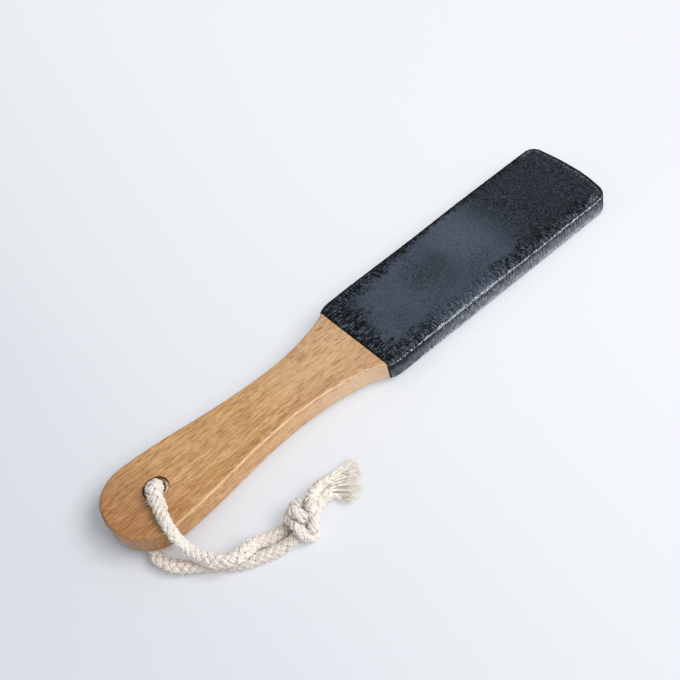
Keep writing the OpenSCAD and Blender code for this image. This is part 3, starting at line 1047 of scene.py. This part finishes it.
def gritMaterial(name, wholeDark):
    recipe = Recipe(name, grit)
    depth, track, turn = (
        recipe.node("Attribute", {"attribute_name": key}, {}, "Fac")
        for key in ("depth", "track", "turn")
    )
    place = recipe.place()
    xyz = recipe.axes(recipe.place(turn=level))
    across, low = xyz.pick("Y"), xyz.pick("Z")
    right = across.fall(-4, 4)
    fold = 1 - (turn - 1).calc("ABSOLUTE")  # 0 on either face, 1 on the side

    # Ticks and hairs that run in from the edges
    inward = recipe.node("CombineXYZ", {}, {0: track * 1.5, 1: depth * 0.55, 2: low * 0.5})
    ticks = recipe.cloud(inward, 1.0, 2, 0.6, 0.9)
    grain = recipe.cloud(place, 1.9, 2, 0.7)
    clump = recipe.cloud(place, 0.42)
    patch = recipe.cloud(place, 0.055, 1)
    wide = recipe.cloud(place, 0.13, 1)

    # Plain grit with soft darker patches, one of them round, darker still in its outer part,
    # with paler grains and dust. A painted sheen keeps the middle paler than the outer part.
    (spotX, spotY), (reachX, reachY) = grit["spotAt"], grit["spotRadii"]
    spot, beside = (xyz - spotX) / reachX, (across - spotY) / reachY
    spot = (spot * spot + beside * beside + (clump - 0.5) * 0.6).fall(0, 1.2)
    # A glow of painted sheen near the right edge
    glow = xyz.ramp(45, 54) * xyz.fall(64, 78) * across.ramp(-9, -1)
    dim = (patch.ramp(0.42, 0.66) * 0.45 * (1 - glow) + spot * 0.65).clip()
    recipe.tone = recipe.blend(dim, "fine", "fineDim")
    recipe.lay(glow * 0.35, "tick")
    outer = (xyz.ramp(60, 84) + wholeDark).clip()
    recipe.lay(outer * (0.86 + clump.ramp(0.3, 0.7) * 0.14), "far")
    recipe.lay(outer * across.fall(-18, -6) * 0.3, "black")
    recipe.lay(grain.fall(0.34, 0.52) * 0.5, "black")
    recipe.lay(grain.ramp(0.48, 0.64) * (0.45 + outer * 0.05), "tick")
    dust = recipe.node("TexVoronoi", {}, {"Vector": place, "Scale": 1.1})
    chance = recipe.axes(dust.pick("Color"))
    speck = chance.ramp(0.4, 1.0) * dust.fall(0.05, 0.32)
    recipe.lay(speck * 0.4, "speck")

    # The rough border, black between its ticks: widest where the blade leaves the wood, faint
    # along the middle of the right edge, and in blotches further out
    near = xyz.fall(2, 34)
    middle = right * xyz.ramp(16, 34) * xyz.fall(50, 62)
    left = (1 - right) * xyz.fall(16, 60)
    out = right * xyz.ramp(14, 32) * xyz.fall(88, 104)
    width = 4.2 + right * 0.8 + out * 2.4 + near * 3 + left * 4.2 + (wide - 0.5) * 3
    blotches = xyz.ramp(52, 66) * xyz.fall(92, 110) * wide.ramp(0.35, 0.6)
    width = width + right * blotches * 3
    reach = depth / width + (clump - 0.5) * 1.3 + (ticks - 0.5) * 1.5
    rough = reach.fall(0.42, 1.05) * (1 - middle * 0.45)
    lift = ticks.ramp(0.49 - right * 0.03 - middle * 0.07, 0.64) * (0.8 + middle * 0.2)
    border = recipe.blend(middle, "tick", "tickPale")
    border = recipe.blend(lift, "black", border)
    end = xyz.ramp(104, 110)
    recipe.lay(rough * (1 - end * 0.5), border)
    band = end * depth.ramp(0.4, 1.2) * depth.fall(2, 4.5)
    recipe.lay(band * ticks.ramp(0.42, 0.6) * 0.45, "speck")

    # The side, dark at its top and paler at its foot, and a black line round the upper edge
    down = recipe.node("CombineXYZ", {}, {0: track * 1.15, 1: low * 0.3, 2: depth})
    hair = recipe.cloud(down, 1.0, 3, 0.75)
    dim = xyz.fall(0, 30) * 0.4 + xyz.ramp(109, 116) * 0.9
    # The side is paler towards its foot: a painted reflection of the table
    pale = low.fall(6.8, 11.2) + (hair - 0.5) * 2.4 - dim
    wall = recipe.blend(pale.clip(), "wallTop", "wall")
    foot = low.fall(0.8, 7) * (1.15 + xyz.ramp(40, 96) * 1.1) + (hair - 0.5) * 2.6 - dim
    wall = recipe.blend(foot.clip(), wall, "paintedTableReflection")
    recipe.lay(fold.ramp(0.9, 0.99), wall)
    tip = xyz.ramp(110, 114)
    line = fold.ramp(0.0, 0.12) * fold.fall(0.84, 0.99) * (1 - right * (1 - tip))
    recipe.lay(line * 0.97, "black")

    # On the right edge, a painted glint: beads by the wood, then a ragged line that thins out
    folded = recipe.node("CombineXYZ", {}, {0: track * 2.3, 1: fold * 4, 2: low * 0.3})
    beads = recipe.cloud(folded, 1.0, 2, 0.6)
    drift = (wide - 0.5) * 0.25 + (clump - 0.5) * 0.15
    thin = 1 - xyz.ramp(8, 24) * xyz.fall(48, 78)
    ridge = 1 - (fold - 0.84 + drift).calc("ABSOLUTE") * (2.8 + thin * 4)
    glintLine = (ridge + (beads - 0.5) * 2.6).ramp(0.3, 0.75) * ridge.ramp(0.0, 0.3)
    dotted = xyz.ramp(6, 16) + beads.ramp(0.5, 0.58) * xyz.fall(6, 16)
    glintLine = glintLine * right * (1 - tip) * dotted * fold.fall(0.97, 1)
    bright = recipe.blend(beads.ramp(0.42, 0.7), "glintGrey", "glintWhite")
    recipe.lay(glintLine * 0.9, bright)
    atWood = (xyz - right * 0.7).fall(-3.6, -2.9)
    recipe.lay(atWood * 0.9, "black")
    height = ticks * rough * 0.9 + grain * (0.3 + rough * 0.5)
    return recipe.finish(
        Base_Color=recipe.tone,
        Roughness=0.6 - glintLine * 0.2,
        Specular_IOR_Level=0.14,
        Coat_Weight=glintLine * 0.4,
        Coat_Roughness=0.2,
        Normal=recipe.bump(height, 0.7, 0.00022),
    )


fineGrit = gritMaterial("fineGrit", 0)
coarseGrit = gritMaterial("coarseGrit", 0.8)
for piece, material, node, finish in (
    (makeBand(), fineGrit, "edge_grit_band", "edge_grit"),
    (makeSheet("upperGrit", 1), fineGrit, "upper_grit_sheet", "fine_grit"),
    (makeSheet("lowerGrit", -1), coarseGrit, "lower_grit_sheet", "coarse_grit"),
):
    dress(settle(piece, uneven["coatStart"]), material)
    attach(piece, "root")
    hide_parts(node)
    print(piece.name, len(piece.data.polygons), "faces")

# A large soft lamp and a dim room
studio = {
    "tableDim": srgb(224, 228, 234),
    "tableBright": srgb(248, 250, 255),
    "sky": (0.97, 0.98, 1.0, 1),
    "skySeen": 0.93,
    "skyStrength": 0.4,
    "keyPower": 110,
    "keyPlace": (1.38, -2.1, 2.58),
    "keySize": (2.8, 1.6),
}

# A pale backdrop, darker on one side in painted shade where the lamp's light falls off.
# Seen directly or in a gloss it is partly its own light, least round the butt, so that
# elsewhere only the softer shadows stay.
bm = bmesh.new()
bmesh.ops.create_grid(bm, x_segments=1, y_segments=1, size=3)
table = addMesh("table", bm)
recipe = Recipe("tableTop", studio)
xyz = recipe.axes(recipe.place())
shade = recipe.blend(xyz.ramp(-260, 110), "tableDim", "tableBright")
top = recipe.node("BsdfDiffuse", {}, {"Color": shade})
glow = recipe.node("Emission", {}, {"Color": shade})
rays = recipe.node("LightPath", {}, {})
lit = 0.11 + xyz.ramp(-110, -60) * 0.31
lit = lit + xyz.ramp(-40, -5) * xyz.pick("Y").fall(-31, -25) * 0.25
seen = rays.pick("Is Camera Ray").calc("MAXIMUM", rays.pick("Is Glossy Ray")) * lit
mixed = recipe.node("MixShader", {}, {0: seen, 1: top, 2: glow})
recipe.tree.links.new(mixed.socket, recipe.output.inputs["Surface"])
table.data.materials.append(recipe.material)

lamp = bpy.data.lights.new("keyLamp", "AREA")
lamp.shape, lamp.energy = "RECTANGLE", studio["keyPower"]
lamp.size, lamp.size_y = studio["keySize"]
stand = addObject("keyLamp", lamp)
stand.location = studio["keyPlace"]
stand.rotation_euler = (-Vector(studio["keyPlace"])).to_track_quat("-Z", "Y").to_euler()
world = bpy.data.worlds.new("room")
scene.world = world
world.use_nodes = True
tree = world.node_tree
sky = tree.nodes["Background"]
sky.inputs["Color"].default_value = studio["sky"]
strength = tree.nodes.new("ShaderNodeMath")  # pale to the eye, dimmer as a light
strength.operation = "MULTIPLY_ADD"
strength.inputs[1].default_value = studio["skySeen"] - studio["skyStrength"]
strength.inputs[2].default_value = studio["skyStrength"]
rays = tree.nodes.new("ShaderNodeLightPath")
tree.links.new(rays.outputs["Is Camera Ray"], strength.inputs[0])
tree.links.new(strength.outputs[0], sky.inputs["Strength"])
scene.view_settings.view_transform = "Standard"
print("table and light set")
